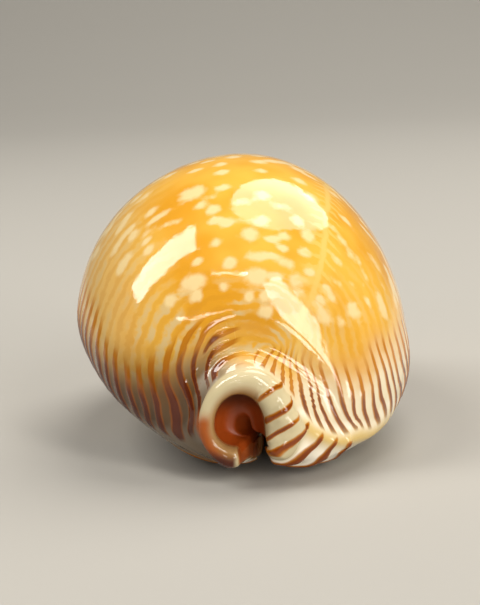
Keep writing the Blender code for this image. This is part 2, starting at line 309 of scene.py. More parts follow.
# Ribs that the picture shows, by pixel: number, progress at the first point (0 is the low end and 1 is
# where the rib fades), points up to where it fades, points beyond
drawnRibs = {
    "left": (
        (-3, 0.0, ((213, 376), (219, 369), (225, 364), (235, 359)), ((246, 357),)),
        (-2, 0.0, ((206, 384), (206, 378), (207, 368), (209, 361), (213, 355), (220, 351), (228, 348),
          (237, 344)), ((246, 341),)),
        (-1, 0.0, ((213, 343), (218, 339), (222, 337), (230, 335), (238, 332)), ((247, 331),)),
        (0, 0.0, ((200, 400), (196, 387), (194, 372), (196, 358), (199, 348), (205, 334), (213, 326)),
          ((228, 321), (247, 320))),
        (1, 0.0, ((190, 437), (192, 424), (192, 413), (187, 398), (181, 386), (178, 375), (179, 362),
          (183, 347), (189, 337), (200, 324)), ((218, 313), (247, 309))),
        (2, 0.0, ((181, 444), (177, 431), (175, 414), (170, 400), (166, 387), (165, 375), (167, 362),
          (171, 349)), ((180, 330), (194, 315), (215, 302), (247, 298))),
        (3, 0.0, ((163, 436), (159, 424), (156, 407), (153, 396), (151, 384), (150, 374), (151, 362)),
          ((154, 346), (164, 324), (180, 305), (205, 291), (247, 286))),
        (4, 0.05, ((148, 427), (146, 413), (142, 401), (139, 391), (138, 383), (138, 370)), ((139, 356),
          (146, 330), (162, 300))),
        (5, 0.15, ((134, 411), (131, 403), (128, 393), (127, 383), (126, 370)), ((125, 356),
          (132, 328))),
        (6, 0.3, ((117, 393), (115, 379), (114, 364), (115, 354)), ((117, 344), (120, 328))),
        (7, 0.4, ((106, 373), (105, 363), (104, 354), (105, 346)), ((108, 330),)),
        (8, 0.3, ((99, 369), (97, 361), (96, 350), (97, 339), (100, 327)), ((104, 313),)),
        (9, 0.5, ((89, 345), (92, 330), (97, 312)), ()),
        (10, 0.5, ((85, 338), (87, 324), (92, 305)), ()),
        (11, 0.5, ((81, 330), (83, 318), (88, 298)), ()),
    ),
    "right": (
        (-3, 0.3, ((249, 365), (257, 357), (267, 350)), ()),
        (-2, 0.3, ((262, 370), (268, 360), (275, 351)), ((264, 345), (252, 341))),
        (-1, 0.3, ((272, 376), (275, 364), (281, 353)), ((279, 344), (266, 335), (252, 331))),
        (0, 0.2, ((283, 390), (283, 378), (284, 366), (287, 355)), ((288, 344), (274, 329),
          (252, 320))),
        (1, 0.2, ((294, 408), (292, 395), (291, 381), (291, 372), (292, 360)), ((294, 345), (282, 322),
          (252, 309))),
        (2, 0.0, ((309, 422), (305, 410), (301, 395), (299, 382), (298, 375), (296, 362)), ((300, 345),
          (290, 316), (252, 298))),
        (3, 0.0, ((322, 432), (317, 420), (314, 406), (312, 399), (312, 390), (310, 382), (307, 374),
          (302, 362)), ((308, 345), (300, 312), (276, 290), (252, 286))),
        (4, 0.0, ((334, 437), (327, 425), (322, 414), (319, 406), (318, 396), (315, 384), (311, 370)),
          ((316, 345),)),
        (5, 0.0, ((346, 437), (339, 426), (334, 415), (330, 402), (327, 391), (324, 382), (320, 368)),
          ((325, 345),)),
        (6, 0.0, ((357, 432), (351, 425), (347, 419), (344, 409), (341, 396), (339, 386), (335, 372)),
          ((330, 352),)),
        (7, 0.0, ((362, 430), (356, 422), (354, 412), (354, 402), (352, 390), (347, 371)),
          ((342, 355),)),
        (8, 0.0, ((369, 431), (366, 420), (364, 407), (364, 396), (362, 387), (359, 376)),
          ((353, 356),)),
        (9, 0.0, ((379, 426), (376, 416), (374, 405), (374, 394), (372, 384), (369, 372)),
          ((362, 350),)),
        (10, 0.1, ((385, 411), (382, 402), (380, 392), (379, 381), (377, 371), (371, 352)), ()),
        (11, 0.2, ((391, 397), (388, 385), (386, 374), (382, 362), (377, 345)), ()),
        (13, 0.2, ((402, 395), (399, 384), (397, 371), (395, 360), (390, 340)), ()),
        (14, 0.2, ((406, 380), (403, 369), (401, 356), (396, 335)), ()),
    ),
    "lip": (
        # not raised or coloured: it keeps the next one thin
        (-1, 0.0, ((254, 391), (261, 385), (268, 380), (275, 377)), ()),
        (0, 0.0, ((262, 401), (268, 396), (274, 391), (281, 388)), ()),
        (1, 0.0, ((264, 427), (275, 421), (284, 414), (291, 408)), ()),
        (2, 0.0, ((268, 445), (277, 437), (285, 432), (291, 427)), ()),
        (3, 0.0, ((273, 456), (281, 452), (291, 447), (299, 440), (305, 429)), ()),
        (4, 0.3, ((299, 462), (306, 456), (314, 450), (319, 441)), ()),
        (5, 0.5, ((319, 462), (325, 457), (329, 452), (333, 445)), ()),
        (6, 0.7, ((339, 456), (344, 451), (347, 445)), ()),
    ),
}

# Ribs and teeth. Their numbers and their progress are smooth fields over the shell, and a rib is where
# the number is whole
ribs = {
    "middle": 0.45,  # x between the left and the right side ribs
    "give": 0.02,  # lets a field miss its points a little
    "beyondStep": 0.15,  # progress from point to point beyond where a rib fades
    "spacing": 1.95,  # mm between side ribs out of the picture
    # sign of x, a rib's number, its y, and the climb from low end to fade
    "onward": {"left": (-1, 11, -11.6, 0.24), "right": (1, 14, -15.5, 0.20)},
    "onwardY": (-22.0, -16.0, -9.0, -3.0, 3.0, 9.0, 14.0, 18.0, 21.5, 24.0, 26.5, 28.5),
    "onwardClimb": (0.40, 0.50, 0.60, 0.70, 0.80, 0.90, 0.98),
    "climbWeight": 30,  # mm that a climb from slit to crown counts for in the search for a place
    "drawnBelow": ((-8, 0.8), (-20, 0.9)),  # y and climb: below both, the picture shows the ribs
    "footClimb": 0.42,  # where their progress is 0
    "frontBend": (20.0, 0.5, 1.4),  # they lean over from this y on, by this much, to this power
    "lipNumbers": (4, 31),  # of the lip ribs out of the picture
    "lipStart": -28.0,
    "lipSpacing": 1.9,
    "lipPlaces": ((1.8, 2.8), (5.0, 1.2), (9.0, 1.2)),  # x and z along one of them
    "lipSlant": 0.10,
    "lipArea": {"right": 0.3, "rear": -16.0, "climb": 0.66, "rim": -28.9, "hollow": 0.95},
    "thinner": 0.2,  # taken off the share of the first lip rib
    "toothPitch": 1.75,
    "toothAt": -23.5,
    "toothSide": 0.5,  # x between the lips
    "toothHollow": 0.97,  # teeth aren't raised further inside
    "toothHeight": 0.45,
    "sideHeight": 0.22,
    "shoulderHeight": 0.5,
    "sharpness": 2.2,
    "collarGap": {"number": -1, "width": 0.55, "left": -2.5, "rear": -24.0},
    "callus": {"run": -0.14, "width": 0.14, "right": 3},
}

# Where ribs and teeth fade, from nothing at the first value to whole at the second
ribFades = {
    "toothFoot": (0.02, 0.10),  # climb
    "toothTop": (0.42, 0.32),
    "toothFront": (30.5, 27.0),  # y
    "toothRear": (-27.0, -23.0),  # y, on the left lip
    "slant": (-18.0, -27.0),
    "lipRear": (-16.0, -22.0),
    "lipFoot": (-0.12, 0.03),  # progress
    "lipEnd": (1.12, 0.95),
    "firstRib": (-0.6, -0.2),  # rib number
    "thinRib": (0.6, 0.3),
    "foot": (-0.10, 0.06),  # progress
    "end": (1.2, 0.8),
    "lowEnd": (1.0, 0.5),
    "rearRim": (-29.3, -28.7),  # y
    "frontRim": (29.4, 28.4),
    "collarGap": (15.4, 14.4),  # z
    "callus": (-10.0, -20.0),  # y
}


def ribFade(name, value):
    return ease(*ribFades[name], value)


def countField(controls, at):
    # smooth field through x, y, z controls with values: distance kernel and a linear part
    known = controls[:, :3]
    kernel = np.linalg.norm(known[:, None] - known[None], axis=2)
    flat = np.hstack((np.ones((len(known), 1)), known))
    system = np.block([[kernel - ribs["give"] * np.eye(len(known)), flat], [flat.T, np.zeros((4, 4))]])
    values = np.vstack((controls[:, 3:], np.zeros((4, controls.shape[1] - 3))))
    weights = np.linalg.lstsq(system, values, rcond=None)[0]
    reach = np.sqrt(np.maximum((at**2).sum(1)[:, None] + (known**2).sum(1)[None] - 2 * at @ known.T, 0.0))
    return reach @ weights[:len(known)] + np.hstack((np.ones((len(at), 1)), at)) @ weights[len(known):]


def drawnControls(side):
    # x, y, z, rib number and progress of the ribs that the picture shows
    rows = []
    for number, low, drawn, beyond in drawnRibs[side]:
        hits = [hit for hit in (onShell(px, py) for px, py in drawn) if hit is not None]
        run = np.concatenate(([0.0], np.cumsum(np.linalg.norm(np.diff(hits, axis=0), axis=1))))
        rows += [(*hit, number, low + (1 - low) * share) for hit, share in zip(hits, run / run[-1])]
        for count, (px, py) in enumerate(beyond, start=1):
            rows.append((*onShell(px, py), number, 1 + ribs["beyondStep"] * count))
    return rows


def sideOnward(side):
    # beyond the picture the side ribs run evenly to the front end
    sign, first, start, reach = ribs["onward"][side]
    bendStart, bendSize, bendPower = ribs["frontBend"]
    rows = []
    for rowY in ribs["onwardY"]:
        for level in ribs["onwardClimb"]:
            if any(rowY < drawnY and level < drawnLevel for drawnY, drawnLevel in ribs["drawnBelow"]):
                continue
            miss = np.abs(climb - level) * ribs["climbWeight"] + np.abs(y - rowY)
            spot = placed[np.where(outside & (sign * x >= 0), miss, np.inf).argmin()]
            bend = bendSize * max(rowY - bendStart, 0.0) ** bendPower
            number = first + (spot[1] - start + bend) / ribs["spacing"]
            rows.append((*spot, number, (level - ribs["footClimb"]) / reach))
    return rows


def lipOnward():
    # and so do the lip ribs
    rows = []
    firstX, lastX = ribs["lipPlaces"][0][0], ribs["lipPlaces"][-1][0]
    for step, number in enumerate(range(*ribs["lipNumbers"])):
        lipY = ribs["lipStart"] + ribs["lipSpacing"] * step
        for lipX, lipZ in ribs["lipPlaces"]:
            slant = ribs["lipSlant"] * (lipX - firstX) * ribFade("slant", lipY)
            rows.append((lipX, lipY - slant, lipZ, number, lipX / lastX))
    return rows


def sideRibs():
    # number and progress at each point, and how far a rib shows there
    count, run = np.zeros(len(placed)), np.zeros(len(placed))
    onLeft = x < ribs["middle"]
    for side, chosen in (("left", onLeft), ("right", ~onLeft)):
        controls = np.array(drawnControls(side) + sideOnward(side))
        count[chosen], run[chosen] = countField(controls, placed[chosen]).T
    share = ribFade("foot", run) * ribFade("end", run) * ribFade("rearRim", y) * ribFade("frontRim", y)
    # the picture shows no rib below the first arc round the collar
    gap = ribs["collarGap"]
    bare = (np.abs(count - gap["number"]) < gap["width"]) * ribFade("collarGap", z)
    bare *= (x < gap["left"]) * (y < gap["rear"])
    return count, run, share * ((1 - bare) * outside)


def lipRibs():
    # teeth along the slit, out of the picture, and the drawn ribs of the rear lip
    count = (y - ribs["toothAt"]) / ribs["toothPitch"]
    share = ribFade("toothFoot", climb) * ribFade("toothTop", climb) * ribFade("toothFront", y)
    share *= np.where(x > ribs["toothSide"], 1.0, ribFade("toothRear", y))
    area = ribs["lipArea"]
    rear = (x > area["right"]) & (y < area["rear"]) & ((climb < area["climb"]) | (y < area["rim"]))
    number, run = countField(np.array(drawnControls("lip") + lipOnward()), placed[rear]).T
    drawn = ribFade("lipFoot", run) * ribFade("lipEnd", run) * (hollow[rear] < area["hollow"])
    drawn *= ribFade("firstRib", number)
    drawn *= 1 - ribs["thinner"] * ribFade("thinRib", number)
    rearShare = ribFade("lipRear", y[rear])
    count[rear] = number
    share[rear] = rearShare * drawn + (1 - rearShare) * share[rear]
    return count, share


def ribWave(count):
    return (0.5 + 0.5 * np.cos(2 * np.pi * count)) ** ribs["sharpness"]


print("shell: ribs")
sideCount, sideRun, sideShare = sideRibs()
lipCount, lipShare = lipRibs()
callus = np.exp(-(((sideRun - ribs["callus"]["run"]) / ribs["callus"]["width"]) ** 2))
callus *= (x > ribs["callus"]["right"]) * ribFade("callus", y) * outside
relief = ribs["toothHeight"] * lipShare * ribWave(lipCount) * (hollow < ribs["toothHollow"])
relief += ribs["sideHeight"] * sideShare * ribFade("lowEnd", sideRun) * ribWave(sideCount)
relief += ribs["shoulderHeight"] * callus
formed = fitted(points + normals * relief[:, None])
mesh.vertices.foreach_set("co", (formed * mm).ravel())
mesh.update()
mesh.shade_smooth()
body = bpy.data.objects.new("cowrie_shell", mesh)
bpy.context.scene.collection.objects.link(body)
sideRun[hollow > shell["inside"]] = -1.0  # below every rib, so that it is cream there
print("shell:", len(mesh.vertices), "points")

# Spots: pale blotches of the back. Those that the picture shows are listed by pixel, with a radius in mm
spots = {
    "pictured": (
        (192, 194, 1.5), (221, 173, 0.8), (225, 188, 0.7), (216, 197, 0.6), (203, 206, 0.7),
        (213, 211, 0.8), (213, 222, 0.6), (226, 224, 0.7), (181, 221, 0.6), (152, 212, 0.8),
        (167, 213, 0.7), (152, 222, 0.5), (162, 228, 0.5), (148, 233, 0.7), (133, 236, 0.8),
        (144, 244, 0.5), (146, 253, 0.7), (213, 245, 0.65), (196, 264, 0.55), (230, 265, 0.8),
        (225, 289, 0.55), (190, 286, 1.1), (197, 284, 0.9), (195, 299, 0.8), (170, 303, 0.8),
        (124, 262, 0.9), (119, 271, 0.9), (142, 199, 0.9), (124, 221, 0.9), (119, 230, 0.8),
        (128, 232, 0.7), (118, 243, 0.8), (112, 254, 0.8), (195, 171, 0.6), (219, 165, 0.8),
        (257, 162, 0.9), (258, 171, 0.7), (298, 181, 0.8), (309, 197, 1.0), (310, 238, 0.9),
        (287, 238, 0.6), (273, 241, 0.5), (250, 236, 1.0), (284, 250, 0.5), (305, 254, 0.7),
        (256, 258, 0.8), (273, 258, 0.5), (286, 265, 0.75), (310, 274, 0.6), (297, 283, 0.85),
        (257, 279, 1.15), (264, 277, 0.6), (310, 285, 0.4), (303, 297, 0.5), (278, 279, 0.5),
        (249, 299, 0.6), (266, 299, 0.7), (266, 315, 0.8), (346, 221, 0.6), (336, 231, 0.5),
        (340, 240, 0.65), (336, 248, 0.55), (332, 255, 0.4), (341, 265, 0.6), (332, 270, 0.4),
        (337, 284, 0.6), (326, 291, 0.6), (322, 303, 0.55), (316, 307, 0.4), (336, 304, 0.5),
        (324, 320, 0.9), (355, 314, 1.0), (340, 323, 0.6), (356, 260, 0.85), (376, 265, 0.9),
        (351, 285, 0.4), (362, 284, 0.45), (382, 285, 0.6), (365, 277, 0.5), (382, 304, 0.9),
        (386, 316, 0.9), (370, 306, 0.5), (359, 237, 0.5), (369, 240, 0.4), (243, 203, 0.8),
        (262, 196, 0.9), (281, 208, 0.8), (262, 222, 0.9), (298, 222, 0.8), (244, 222, 0.6),
    ),
    "turnedAway": 0.2,  # the rest are only where the skin faces the camera less than this
    "lowest": 1.1,  # and where the ribs' progress is more than this
    "ends": 27,  # and less than this from the middle, mm along y
    "spacing": 2.3,  # mm between them, times a random number in this range
    "spacingRange": (0.75, 1.25),
    "radii": (0.35, 0.95),  # mm, and more of them are small
    "smallMore": 1.6,
    "bigShare": 0.06,  # a few are bigger
    "bigger": 1.6,
    "tries": 9000,
    "seed": 7,
    "fadeReach": 3,  # in radii
}


def spotCentres():
    centres = []
    for px, py, radius in spots["pictured"]:
        hit = onShell(px, py)
        if hit is not None:
            centres.append((*hit, radius))
    # the rest of the back, out of the picture
    random = np.random.default_rng(spots["seed"])
    small, large = spots["radii"]
    toEye = np.array(eye.matrix_world.translation) / mm - placed
    toEye /= np.linalg.norm(toEye, axis=1, keepdims=True)
    unseen = ((normals * toEye).sum(axis=1) < spots["turnedAway"]) & (hollow == 0.0)
    unseen &= (sideRun > spots["lowest"]) & (np.abs(y) < spots["ends"])
    chosen = []
    for index in random.permutation(np.flatnonzero(unseen))[:spots["tries"]]:
        here = tuple(placed[index])
        gap = spots["spacing"] * random.uniform(*spots["spacingRange"])
        if all(math.dist(here, centre[:3]) > gap for centre in chosen):
            radius = small + (large - small) * random.random() ** spots["smallMore"]
            radius *= spots["bigger"] if random.random() < spots["bigShare"] else 1.0
            chosen.append((*here, radius))
    return centres + chosen


def spotShares():
    # 1 in the middle of a spot, half at its edge
    shares = np.zeros(len(placed))
    for *centre, radius in spotCentres():
        near = np.flatnonzero(np.abs(y - centre[1]) < spots["fadeReach"] * radius)
        away = ((placed[near] - centre) ** 2).sum(axis=1) / radius**2
        shares[near] = np.maximum(shares[near], 0.5**away)
    return shares


print("shell: spots")
spotField = spotShares()

# Mantle line: a pale band along the back, read off the picture and run on to the front end
mantleLine = {
    "pictured": (
        (329, 187), (328, 214), (326, 237), (324, 253), (320, 271), (316, 288), (308, 308), (298, 330),
    ),
    "onward": ((4.0, 9.0), (14.0, 6.5), (24.0, 2.0), (31.0, 0.6)),  # y and x, mm
    "lowestRun": 0.9,
    "lowestClimb": 0.6,
    "farAway": 9.0,  # mm, told to the rest of the shell
}


def mantleAway():
    # mm across to the line
    hits = [hit for hit in (onShell(px, py) for px, py in mantleLine["pictured"]) if hit is not None]
    alongY, acrossX = zip(*sorted((hit[1], hit[0]) for hit in hits), *mantleLine["onward"])
    onBack = (sideRun > mantleLine["lowestRun"]) & (climb > mantleLine["lowestClimb"])
    return np.where(onBack, x - np.interp(y, alongY, acrossX), mantleLine["farAway"])


print("shell: mantle line")
lineAway = mantleAway()

# Tints. A pair is where one fades, from nothing at the first value to whole at the second, in mm along
# x, y or z, or as it is named. A single number is how strong one is, or where it stops
tints = {
    "rearCollarY": (-29.2, -29.6),
    "frontCollarY": (28.0, 29.0),
    "frontCollar": 0.9,
    "rimHollow": (0.28, 0.95),
    "rim": 0.5,
    "canalY": (-29.7, -28.4),
    "wall": 0.5,
    "canalRight": 0.6,  # the rim is cream beyond this x
    "slitClimb": (0.20, 0.12),
    "slitY": (-20.0, -26.0),
    "slitRight": 1.2,
    "slit": 0.8,
    "stainZ": (10.2, 5.4),
    "stainX": (-1.6, -3.4),
    "stainY": (-27.4, -28.8),
    "stainHollow": (1.0, 0.6),
    "leftX": (0.0, -5.0),
    "leftY": (20.0, 10.0),
    "tanX": (-9.0, -17.0),
    "fanNumber": (2.5, 1.0),
    "fanY": (-18.0, -22.0),
    "fan": 0.4,  # more gold by the first right ribs, towards the spire end
    "arcZ": (14.5, 17.5),
    "arcY": (-19.0, -23.0),
    "arc": 0.45,  # and by the arcs over the collar
    "streakY": (-21.0, -24.5),
    "streakX": (8.0, 4.0),
    "streaks": {"right": 0.5, "leftMore": 0.4, "rear": 1.4},
}


def tint(name, value):
    return ease(*tints[name], value)


hood = np.maximum(tint("rearCollarY", y), tints["frontCollar"] * tint("frontCollarY", y))
canal = tints["rim"] * tint("rimHollow", hollow)
canal += tints["wall"] * (hollow == 1.0) * tint("canalY", y)
canal = np.where((hollow < 1.0) & (x > tints["canalRight"]), 0.0, canal)
slitStain = tints["slit"] * tint("slitClimb", climb) * (x < tints["slitRight"]) * tint("slitY", y)
canal = np.maximum(canal, slitStain)
stain = tint("stainZ", z) * tint("stainX", x) * tint("stainY", y) * tint("stainHollow", hollow)
left = tint("leftX", x) * tint("leftY", y)
fan = tints["fan"] * tint("fanNumber", sideCount) * (x > ribs["middle"]) * tint("fanY", y)
arcs = tints["arc"] * tint("arcZ", z) * tint("arcY", y) * (x <= ribs["middle"])
streaks = tints["streaks"]
streaky = np.maximum(
    streaks["right"] + streaks["leftMore"] * left, streaks["rear"] * tint("streakY", y) * tint("streakX", x)
)

# Each of these is a vector attribute of the mesh, and the material reads its three parts by these names
fields = {
    "sideRibs": {"count": sideCount, "run": sideRun, "share": sideShare},
    "lipRibs": {"lipCount": lipCount, "lipShare": lipShare, "callus": callus},
    "marks": {"spot": spotField, "line": lineAway, "canal": canal},
    "tints": {"stain": stain, "hood": hood, "tan": tint("tanX", x)},
    "sides": {"left": left, "gold": np.maximum(fan, arcs), "streaky": streaky},
}
for name, parts in fields.items():
    attribute = mesh.attributes.new(name, "FLOAT_VECTOR", "POINT")
    attribute.data.foreach_set("vector", np.stack(list(parts.values()), axis=1).astype(np.float32).ravel())


def addNode(tree, kind, settings, output=0):
    # a value may be a number, a hex colour, another node's output to link, or a field of the node itself
    node = tree.nodes.new("ShaderNode" + kind)
    for key, value in settings.items():
        if isinstance(value, bpy.types.NodeSocket):
            tree.links.new(value, node.inputs[key])
        elif isinstance(key, str) and hasattr(node, key):
            setattr(node, key, value)
        else:
            node.inputs[key].default_value = fromHex(value) if isinstance(value, str) else value
    return node.outputs[output]


# Aragonite that the animal's mantle glazed: pigment in layers under a hard, smooth skin. So the colours
# look deep, their edges are a little uneven, and reflections are sharp
glaze = {
    "ior": 1.5,
    "roughness": (0.05, 0.10),
    "canalRoughness": 0.45,
    "bump": {"Strength": 0.5, "Distance": 0.08 * mm},
    "back": "#D09223",
    "backPale": "#DBA840",
    "spot": "#DEC58F",
    "line": "#DCB664",
    "tan": "#D6AC60",
    "streak": "#CBAE76",
    "ochre": "#B87A1C",
    "between": "#DACDAE",
    # darker between the ribs on the left side: painted shade
    "betweenLeftShaded": "#A88D67",
    "base": "#F2EAD8",
    "ribLow": "#702C00",
    "rib": "#702E00",
    "ribHigh": "#B47014",
    "ribEdge": "#AE6A0E",
    # these two darken the lower left flank's ground and ribs as painted shade
    "flank": "#82766A",
    "flankRibShade": "#C0A890",
    "lipRib": "#7C3600",
    "hood": "#C6B892",
    "callus": "#D2B46D",
    "canalRim": "#9C7647",
    "canal": "#8E3A04",
    # the canal darkens towards its roof: painted shade
    "canalRoofShade": "#451D05",
    "stain": "#A04C00",
    "stainLow": "#4C1800",
}

# Sizes of the noises' cells, and from tooth to tooth of the mantle line's comb, mm
cells = {"slow": 2.5, "fine": 0.8, "broad": 9, "glaze": 1.2, "comb": 1.25}

# How far a noise or a field moves each pattern
sway = {
    "run": 0.3,
    "leftRun": 0.3,
    "gapFine": 0.4,
    "gap": 1.2,
    "leftOchre": 0.5,
    "spot": 0.45,
    "line": 1.1,
    "combSlant": 0.30,
    "comb": 0.7,
    "combFade": -0.40,
    "rib": 0.22,
    "ribWider": -0.34,
    "lipRib": 0.16,
    "lipWider": 0.7,
    "stain": 0.5,
    "glaze": 0.25,
}

# Soft steps: 1 and 2 are where each starts and ends, 3 and 4 are its values there if they aren't 0 and 1.
# Heights and distances are in mm
steps = {
    "paleBack": {1: 0.35, 2: 0.65},
    "tan": {1: 2.6, 2: 1.4},
    "back": {1: 0.42, 2: 1.25},
    "flankGround": {1: 0.0, 2: 0.22},
    "ochre": {1: 0.4, 2: -0.9, 4: 0.34},
    "gap": {1: -0.5, 2: 1.0},
    "patch": {1: 0.34, 2: 0.62},
    "streakStart": {1: 0.6, 2: 0.9, 4: 0.75},
    "streakEnd": {1: 2.1, 2: 1.3},
    "spot": {1: 0.24, 2: 0.72, 4: 0.94},
    "spotLowest": {1: 0.9, 2: 1.3},
    "combTooth": {1: -0.35, 2: 0.45, 4: 0.6},
    "combReach": {1: 2.6, 2: 1.0},
    "line": {1: 0.55, 2: 0.15, 4: 0.8},
    # where the left flank's painted shade fades, by height and along y
    "shadeHeight": {1: 17.5, 2: 10.0},
    "shadeRear": {1: -2.0, 2: -12.0},
    "ribNarrow": {1: 0.1, 2: 1.0, 3: 0.30, 4: 0.78},
    "ribCore": {1: 0.02, 2: 0.50},
    "ribEdge": {1: -0.60, 2: 0.12, 4: 0.92},
    "ribEnd": {1: 0.10, 2: 0.85},
    "rib": {1: 0.15, 2: 0.60},
    "ribHigh": {1: 0.45, 2: 0.85},
    "lipEdge": {1: 0.95, 2: 1.40},
    "lipEnd": {1: 0.05, 2: 0.40},
    "lipCore": {1: 1.30, 2: 1.66},
    "stain": {1: 0.05, 2: 0.66},
    "stainLow": {1: 5.2, 2: 3.4},
    "canalRim": {1: 0.0, 2: 0.55},
    "canal": {1: 0.42, 2: 0.90},
    # heights over which the canal's painted shade comes in
    "canalRoofShade": {1: 7.5, 2: 10.5},
    "glaze": {1: 0.3, 2: 0.7, 3: glaze["roughness"][0], 4: glaze["roughness"][1]},
}
for step in steps.values():
    step["interpolation_type"] = "SMOOTHSTEP"

# In a mix of colours, 0 is the share of the colour at 7 over the one at 6, and output 2 is the result
colour = {"data_type": "RGBA"}
add = {"operation": "ADD"}
times = {"operation": "MULTIPLY"}
timesAdd = {"operation": "MULTIPLY_ADD"}  # 0 times 1, plus 2
cosine = {"operation": "COSINE"}
wholeTurn = 2 * math.pi


def readFields(tree):
    # the mesh's fields, places on the shell in mm, and noises
    at = {}
    for name, parts in fields.items():
        vector = addNode(tree, "Attribute", {"attribute_name": name}, "Vector")
        for axis, part in enumerate(parts):
            at[part] = addNode(tree, "SeparateXYZ", {0: vector}, axis)
    place = addNode(tree, "TexCoord", {}, "Object")
    for axis, name in ((1, "along"), (2, "height")):
        metres = addNode(tree, "SeparateXYZ", {0: place}, axis)
        at[name] = addNode(tree, "Math", {"operation": "DIVIDE", 0: metres, 1: mm})
    for name in ("slow", "fine", "broad", "glaze"):
        at[name] = addNode(tree, "TexNoise", {"Vector": place, "Scale": 1 / (cells[name] * mm)})
    for name in ("slow", "fine"):  # these are about 0, and make edges wavy
        at[name] = addNode(tree, "Math", {**add, 0: at[name], 1: -0.5})
    at["run"] = addNode(tree, "Math", {**timesAdd, 0: at["slow"], 1: sway["run"], 2: at["run"]})
    at["goldRun"] = addNode(tree, "Math", {**add, 0: at["run"], 1: at["gold"]})
    at["wall"] = addNode(tree, "MapRange", {**steps["canal"], 0: at["canal"]})
    return at


def groundColour(tree, at):
    # cream base, grey-beige between the ribs and darker there on the left side as painted shade, orange back,
    # tan upper left flank
    share = addNode(tree, "MapRange", {**steps["paleBack"], 0: at["broad"]})
    back = addNode(tree, "Mix", {**colour, 0: share, 6: glaze["back"], 7: glaze["backPale"]}, 2)
    share = addNode(tree, "MapRange", {**steps["tan"], 0: at["run"]})
    share = addNode(tree, "Math", {**times, 0: share, 1: at["tan"]})
    back = addNode(tree, "Mix", {**colour, 0: share, 6: back, 7: glaze["tan"]}, 2)
    tones = {6: glaze["between"], 7: glaze["betweenLeftShaded"]}
    between = addNode(tree, "Mix", {**colour, **tones, 0: at["left"]}, 2)
    share = addNode(tree, "Math", {**timesAdd, 0: at["left"], 1: sway["leftRun"], 2: at["goldRun"]})
    share = addNode(tree, "MapRange", {**steps["back"], 0: share})
    flank = addNode(tree, "Mix", {**colour, 0: share, 6: between, 7: back}, 2)
    share = addNode(tree, "MapRange", {**steps["flankGround"], 0: at["run"]})
    return addNode(tree, "Mix", {**colour, 0: share, 6: glaze["base"], 7: flank}, 2)


# Layers over the ground colour. Each function gives the settings of the mixes that lay them on, lowest first
def streakLayers(tree, at):
    # above the ribs, thin ochre lines and the pale gaps run on and break up
    phase = addNode(tree, "Math", {**timesAdd, 0: at["fine"], 1: sway["gapFine"], 2: at["slow"]})
    phase = addNode(tree, "Math", {**timesAdd, 0: phase, 1: sway["gap"], 2: at["count"]})
    phase = addNode(tree, "Math", {**timesAdd, 0: phase, 1: wholeTurn, 2: math.pi})
    wave = addNode(tree, "Math", {**cosine, 0: phase})
    start = addNode(tree, "MapRange", {**steps["streakStart"], 0: at["run"]})
    end = addNode(tree, "MapRange", {**steps["streakEnd"], 0: at["run"]})
    zone = addNode(tree, "Math", {**times, 0: start, 1: end})
    onRight = 1 - sway["leftOchre"]  # fainter there
    ochre = addNode(tree, "Math", {**timesAdd, 0: at["left"], 1: sway["leftOchre"], 2: onRight})
    lines = addNode(tree, "MapRange", {**steps["ochre"], 0: wave})
    ochre = addNode(tree, "Math", {**times, 0: lines, 1: ochre})
    ochre = addNode(tree, "Math", {**times, 0: ochre, 1: zone})
    patchy = addNode(tree, "Math", {**add, 0: at["slow"], 1: at["broad"]})
    patchy = addNode(tree, "MapRange", {**steps["patch"], 0: patchy})
    patchy = addNode(tree, "Math", {**times, 0: patchy, 1: at["streaky"]})
    gaps = addNode(tree, "MapRange", {**steps["gap"], 0: wave})
    pale = addNode(tree, "Math", {**times, 0: gaps, 1: patchy})
    pale = addNode(tree, "Math", {**times, 0: pale, 1: zone})
    return [{0: ochre, 7: glaze["ochre"]}, {0: pale, 7: glaze["streak"]}]


def spotLayers(tree, at):
    blotch = addNode(tree, "Math", {**timesAdd, 0: at["fine"], 1: sway["spot"], 2: at["spot"]})
    blotch = addNode(tree, "MapRange", {**steps["spot"], 0: blotch})
    zone = addNode(tree, "MapRange", {**steps["spotLowest"], 0: at["run"]})
    return [{0: addNode(tree, "Math", {**times, 0: blotch, 1: zone}), 7: glaze["spot"]}]


def lineLayers(tree, at):
    # the mantle line: a band, with a comb of short streaks on both sides
    away = addNode(tree, "Math", {**timesAdd, 0: at["slow"], 1: sway["line"], 2: at["line"]})
    away = addNode(tree, "Math", {"operation": "ABSOLUTE", 0: away})
    teeth = addNode(tree, "Math", {**timesAdd, 0: away, 1: sway["combSlant"], 2: at["along"]})
    teeth = addNode(tree, "Math", {**timesAdd, 0: at["fine"], 1: sway["comb"], 2: teeth})
    teeth = addNode(tree, "Math", {**times, 0: teeth, 1: wholeTurn / cells["comb"]})
    teeth = addNode(tree, "Math", {**cosine, 0: teeth})
    teeth = addNode(tree, "Math", {**timesAdd, 0: away, 1: sway["combFade"], 2: teeth})
    comb = addNode(tree, "MapRange", {**steps["combTooth"], 0: teeth})
    reach = addNode(tree, "MapRange", {**steps["combReach"], 0: away})
    comb = addNode(tree, "Math", {**times, 0: comb, 1: reach})
    band = addNode(tree, "MapRange", {**steps["line"], 0: away})
    return [{0: addNode(tree, "Math", {"operation": "MAXIMUM", 0: band, 1: comb}), 7: glaze["line"]}]


